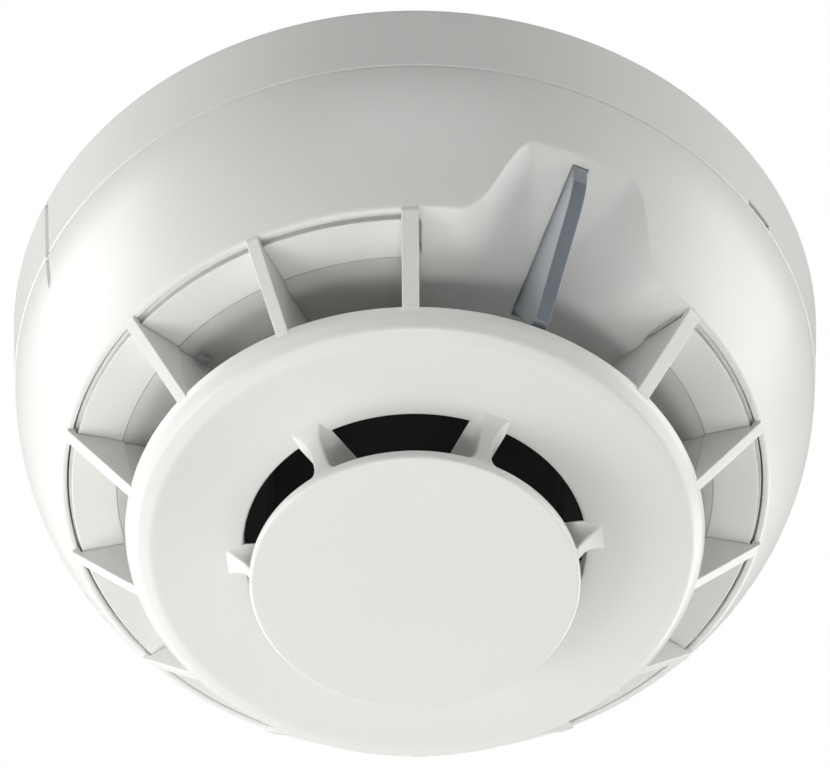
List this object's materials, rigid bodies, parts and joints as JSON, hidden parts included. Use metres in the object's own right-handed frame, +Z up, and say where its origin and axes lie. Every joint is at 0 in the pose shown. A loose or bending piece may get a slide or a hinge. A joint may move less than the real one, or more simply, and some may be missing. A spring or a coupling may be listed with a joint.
{
  "type": "heat detector",
  "caption": "Round ceiling heat detector: a domed white head with radial fins, a front cap on struts and a side light pipe, on a bayonet base.",
  "frame": {"origin": "centre of the base's flat back face, where it meets the ceiling; the detector hangs below it to z = -52.2 mm", "axes": "+Z up into the ceiling, along the detector's axis; the indicator's scoop faces 24.9 degrees from -Y towards +X"},
  "size_m": [0.1092, 0.1092, 0.0522],
  "materials": {
    "white_plastic": "satin moulded ABS",
    "black_plastic": "fine matt",
    "clear_plastic": "clear polycarbonate, slightly blue-grey",
    "red_lens": "tinted epoxy",
    "brass": "bright stamped",
    "steel": "zinc plated or stainless",
    "tinned": "tinned",
    "circuit_board": "green solder mask",
    "sleeve": "shrink sleeve",
    "bead": "epoxy coated, with tinned leads"
  },
  "bodies": {
    "base": {"base_shell": "white_plastic", "terminal_plate_1": "brass", "terminal_clamp_1": "steel", "terminal_screw_1": "steel", "terminal_plate_2": "brass", "terminal_clamp_2": "steel", "terminal_screw_2": "steel", "terminal_plate_3": "brass", "terminal_clamp_3": "steel", "terminal_screw_3": "steel", "terminal_plate_4": "brass", "terminal_clamp_4": "steel", "terminal_screw_4": "steel"},
    "head": {"air_guide": "white_plastic", "case_screw_1": "steel", "case_screw_2": "steel", "case_screw_3": "steel", "channel_ring": "white_plastic", "circuit_board": "circuit_board", "comparator_chip": "black_plastic", "contact_blade_1": "tinned", "contact_blade_2": "tinned", "contact_blade_3": "tinned", "contact_blade_4": "tinned", "controller_chip": "black_plastic", "indicator_led": "red_lens", "insect_guard": "black_plastic", "light_pipe": "clear_plastic", "outer_cover": "white_plastic", "rear_moulding": "white_plastic", "sensing_chamber": "black_plastic", "smoothing_capacitor": "sleeve", "test_header": "black_plastic", "thermistor": "bead"},
    "contact_1": {"contact_spring_1": "steel"},
    "contact_2": {"contact_spring_2": "steel"},
    "contact_3": {"contact_spring_3": "steel"},
    "contact_4": {"contact_spring_4": "steel"},
    "latch": {"lock_latch": "white_plastic"}
  },
  "joints": [
    {"name": "head_twist", "type": "hinge", "parent": "base", "child": "head", "pos_m": [0, 0, -0.013], "axis": [0, 0, -1], "range_deg": [0, 18]},
    {"name": "contact_1_flex", "type": "hinge", "parent": "base", "child": "contact_1", "pos_m": [0.02827, 0.0188, -0.0043], "axis": [-0.9397, -0.342, 0], "range_deg": [0, 5]},
    {"name": "contact_2_flex", "type": "hinge", "parent": "base", "child": "contact_2", "pos_m": [-0.0188, 0.02827, -0.0043], "axis": [0.342, -0.9397, 0], "range_deg": [0, 5]},
    {"name": "contact_3_flex", "type": "hinge", "parent": "base", "child": "contact_3", "pos_m": [-0.02827, -0.0188, -0.0043], "axis": [0.9397, 0.342, 0], "range_deg": [0, 5]},
    {"name": "contact_4_flex", "type": "hinge", "parent": "base", "child": "contact_4", "pos_m": [0.0188, -0.02827, -0.0043], "axis": [-0.342, 0.9397, 0], "range_deg": [0, 5]},
    {"name": "latch_press", "type": "hinge", "parent": "base", "child": "latch", "pos_m": [0.04238, -0.0271, -0.0041], "axis": [0.5388, 0.8425, 0], "range_deg": [0, 6], "stiffness_Nm_per_rad": 0.02, "springref_deg": -1.15}
  ],
  "couplings": [
    {"joint": "contact_1_flex", "follows": "head_twist", "ratio": 0.26962},
    {"joint": "contact_2_flex", "follows": "head_twist", "ratio": 0.26962},
    {"joint": "contact_3_flex", "follows": "head_twist", "ratio": 0.26962},
    {"joint": "contact_4_flex", "follows": "head_twist", "ratio": 0.26962}
  ]
}
